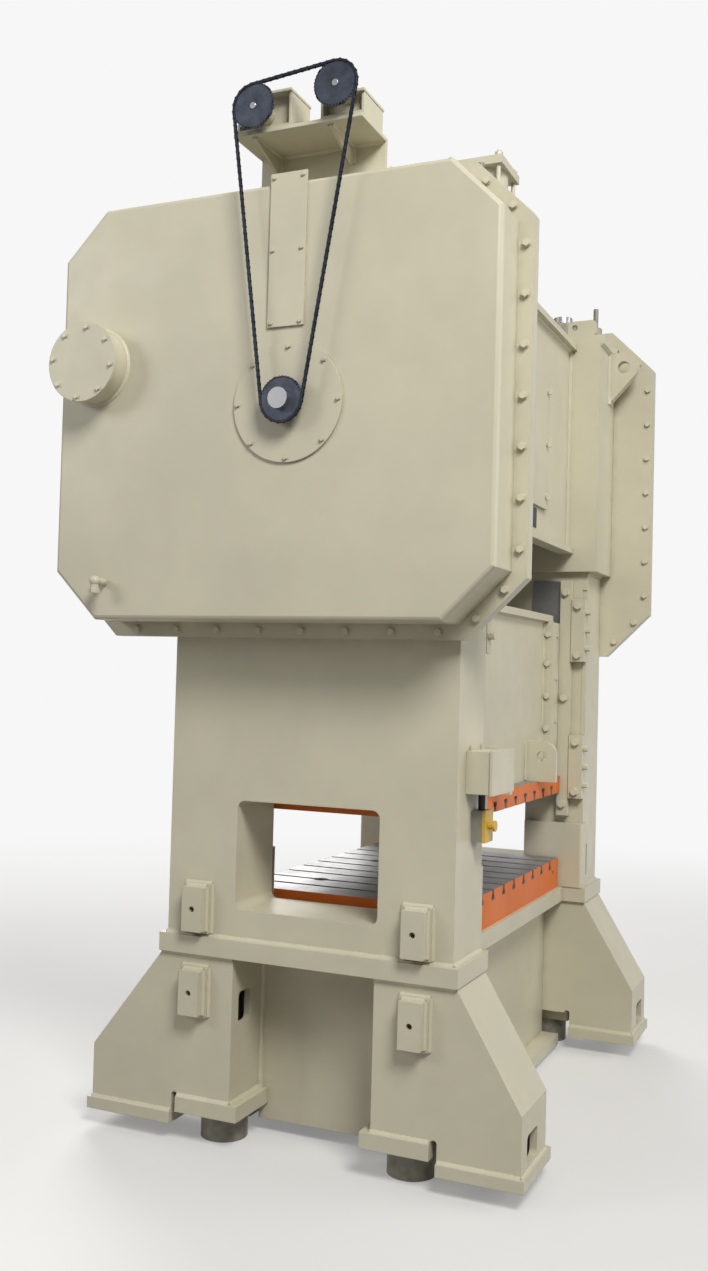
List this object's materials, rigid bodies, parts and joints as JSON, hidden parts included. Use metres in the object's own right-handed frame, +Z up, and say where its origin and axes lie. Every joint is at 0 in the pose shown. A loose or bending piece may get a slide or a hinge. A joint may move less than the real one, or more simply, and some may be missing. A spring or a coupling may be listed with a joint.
{
  "type": "mechanical stamping press",
  "caption": "Straight-side two-point mechanical stamping press with gear cases, slotted bolster and slide, flared legs and a chain-driven cam switch drive on top.",
  "frame": {"origin": "centre of the bolster's top face", "axes": "+X from the left gear case to the right one, along the bed; +Y from front to back; +Z up"},
  "size_m": [3.159, 2.2208, 4.156],
  "materials": {
    "cream_paint": "gloss",
    "orange_paint": "satin",
    "bare_steel": "machined",
    "bolster_steel": "ground, edges painted orange",
    "black_steel": "oiled",
    "cast_wheel": "turned",
    "bronze": "turned",
    "belt_rubber": "matt",
    "yellow_plastic": "gloss",
    "plate_black": "matt"
  },
  "bodies": {
    "frame": {"bed": "cream_paint", "left_upright": "cream_paint", "right_upright": "cream_paint", "crown": "cream_paint", "tie_rods": "bare_steel", "tie_rod_nuts": "bare_steel", "bolster": "bolster_steel", "side_liners": "bare_steel", "gib_rails": "cream_paint", "gib_blocks": "cream_paint", "gib_bolts": "bare_steel", "left_gear_case_back": "cream_paint", "right_gear_case_back": "cream_paint", "left_gear_cover": "cream_paint", "right_gear_cover": "cream_paint", "left_cover_bolts": "bare_steel", "right_cover_bolts": "bare_steel", "left_shaft_cap": "cream_paint", "right_shaft_cap": "cream_paint", "cap_bolts": "bare_steel", "crank_seal_plate": "cream_paint", "slot_cover": "cream_paint", "door_hinges": "cream_paint", "blank_plate": "plate_black", "main_bushes": "bronze", "drive_motor": "cream_paint", "drive_belts": "belt_rubber", "cam_platform": "cream_paint", "rear_cam_box": "cream_paint", "front_cam_box": "cream_paint", "drive_chain": "black_steel", "front_balance_cylinder": "cream_paint", "rear_balance_cylinder": "cream_paint", "control_box": "cream_paint", "button_station": "yellow_plastic", "control_cable": "belt_rubber", "drain_elbow": "cream_paint", "corner_guards": "cream_paint", "key_blocks": "cream_paint"},
    "crank": {"crankshaft": "bare_steel", "left_bull_gear": "bare_steel", "right_bull_gear": "bare_steel", "crank_sprocket": "black_steel"},
    "left_rod": {"left_connecting_rod": "bare_steel", "left_adjusting_screw": "bare_steel"},
    "right_rod": {"right_connecting_rod": "bare_steel", "right_adjusting_screw": "bare_steel"},
    "slide": {"slide": "cream_paint", "slide_plate": "orange_paint", "slide_bolts": "bare_steel", "front_balance_rod": "bare_steel", "rear_balance_rod": "bare_steel"},
    "pinion": {"pinion_shaft": "bare_steel"},
    "flywheel": {"flywheel": "cast_wheel"},
    "motor_rotor": {"motor_pulley": "cast_wheel"},
    "rear_cam": {"rear_cam_sprocket": "black_steel"},
    "front_cam": {"front_cam_sprocket": "black_steel"},
    "door": {"crown_door": "cream_paint", "door_latches": "bare_steel"},
    "button": {"stop_button": "yellow_plastic"}
  },
  "joints": [
    {"name": "crank_turn", "type": "hinge", "parent": "frame", "child": "crank", "pos_m": [0, 0, 1.846], "axis": [1, 0, 0], "range_deg": [0, 180]},
    {"name": "left_rod_swing", "type": "hinge", "parent": "crank", "child": "left_rod", "pos_m": [-0.36, 0, 1.77], "axis": [1, 0, 0], "range_deg": [-180, 0]},
    {"name": "right_rod_swing", "type": "hinge", "parent": "crank", "child": "right_rod", "pos_m": [0.36, 0, 1.77], "axis": [1, 0, 0], "range_deg": [-180, 0]},
    {"name": "slide_stroke", "type": "slide", "parent": "frame", "child": "slide", "axis": [0, 0, 1], "range_m": [0, 0.152]},
    {"name": "pinion_turn", "type": "hinge", "parent": "frame", "child": "pinion", "pos_m": [0, 0.83083, 2.03476], "axis": [1, 0, 0], "range_deg": [-885, 0]},
    {"name": "flywheel_turn", "type": "hinge", "parent": "frame", "child": "flywheel", "pos_m": [1.6, 0.83083, 2.03476], "axis": [1, 0, 0], "continuous": true},
    {"name": "motor_turn", "type": "hinge", "parent": "frame", "child": "motor_rotor", "pos_m": [1.6, 0.09, 2.938], "axis": [1, 0, 0], "continuous": true},
    {"name": "rear_cam_turn", "type": "hinge", "parent": "frame", "child": "rear_cam", "pos_m": [-1.4, 0.146, 2.924], "axis": [1, 0, 0], "range_deg": [0, 180]},
    {"name": "front_cam_turn", "type": "hinge", "parent": "frame", "child": "front_cam", "pos_m": [-1.4, -0.18, 2.952], "axis": [1, 0, 0], "range_deg": [0, 180]},
    {"name": "door_hinge", "type": "hinge", "parent": "frame", "child": "door", "pos_m": [-0.343, -0.503, 2], "axis": [0, 0, 1], "range_deg": [-110, 0]},
    {"name": "stop_push", "type": "slide", "parent": "frame", "child": "button", "axis": [0, 1, 0], "range_m": [0, 0.006], "stiffness_N_per_m": 900}
  ],
  "couplings": [
    {"joint": "left_rod_swing", "follows": "crank_turn", "ratio": -1},
    {"joint": "right_rod_swing", "follows": "crank_turn", "ratio": -1},
    {"joint": "slide_stroke", "follows": "crank_turn", "m_per_rad": 0.04838},
    {"joint": "pinion_turn", "follows": "crank_turn", "ratio": -4.9167},
    {"joint": "rear_cam_turn", "follows": "crank_turn", "ratio": 1},
    {"joint": "front_cam_turn", "follows": "crank_turn", "ratio": 1},
    {"joint": "motor_turn", "follows": "flywheel_turn", "ratio": 4.9524}
  ]
}
